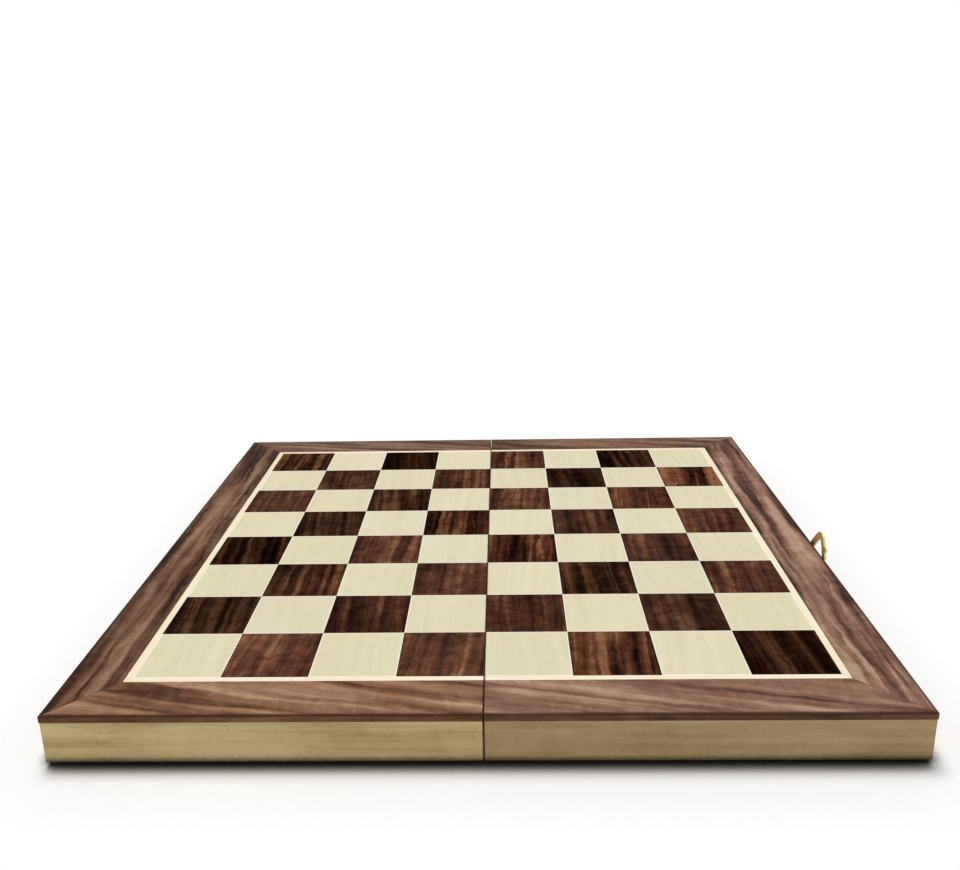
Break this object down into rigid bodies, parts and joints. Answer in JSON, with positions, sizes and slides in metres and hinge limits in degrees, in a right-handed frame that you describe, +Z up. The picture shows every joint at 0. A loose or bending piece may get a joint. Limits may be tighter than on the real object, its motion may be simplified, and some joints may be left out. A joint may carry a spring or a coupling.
{
  "type": "folding chess board",
  "caption": "Square wooden game board in two hinged shallow trays, inlaid with light and dark squares, that folds into a felt-lined case closed by a brass swing hook.",
  "frame": {"origin": "under the middle of the open board, on the plane that its lowest points (the hinge knuckles) touch", "axes": "+Z up, out of the playing surface; +X across the fold line towards the half that carries the hook; +Y along the fold line, away from the viewer of the picture"},
  "size_m": [0.3974, 0.39, 0.0378],
  "materials": {
    "border_walnut": "satin lacquer over straight-grained walnut",
    "dark_walnut": "satin lacquer over dark walnut veneer",
    "light_maple": "satin lacquer over pale maple veneer",
    "light_stringing": "satin lacquer over pale maple stringing",
    "rail_pine": "clear matt lacquer over pale softwood",
    "panel_core": "plywood, edges hidden",
    "felt": "short-napped wool felt",
    "brass": "bright stamped brass, slightly worn",
    "steel": "drawn wire"
  },
  "bodies": {
    "right_half": {"right_front_rail": "rail_pine", "right_back_rail": "rail_pine", "right_end_rail": "rail_pine", "right_spine_rail": "rail_pine", "right_panel": "panel_core", "right_lipping": "border_walnut", "right_front_border": "border_walnut", "right_back_border": "border_walnut", "right_end_border": "border_walnut", "right_stringing": "light_stringing", "right_felt_lining": "felt", "right_light_squares": "light_maple", "right_dark_squares": "dark_walnut", "right_hinge_screws": "brass", "front_hinge_right_leaf": "brass", "front_hinge_pin": "steel", "back_hinge_right_leaf": "brass", "back_hinge_pin": "steel", "hook_washer": "brass", "hook_pivot_screw": "brass"},
    "left_half": {"left_front_rail": "rail_pine", "left_back_rail": "rail_pine", "left_end_rail": "rail_pine", "left_spine_rail": "rail_pine", "left_panel": "panel_core", "left_lipping": "border_walnut", "left_front_border": "border_walnut", "left_back_border": "border_walnut", "left_end_border": "border_walnut", "left_stringing": "light_stringing", "left_felt_lining": "felt", "left_light_squares": "light_maple", "left_dark_squares": "dark_walnut", "left_hinge_screws": "brass", "front_hinge_left_leaf": "brass", "back_hinge_left_leaf": "brass", "catch_stud": "brass"},
    "hook": {"hook": "brass"}
  },
  "joints": [
    {"name": "fold", "type": "hinge", "parent": "right_half", "child": "left_half", "pos_m": [0, 0, 0.0015], "axis": [0, -1, 0], "range_deg": [0, 180]},
    {"name": "hook_swing", "type": "hinge", "parent": "right_half", "child": "hook", "pos_m": [0.1962, -0.006, 0.01565], "axis": [1, 0, 0], "range_deg": [-145, 125]}
  ]
}
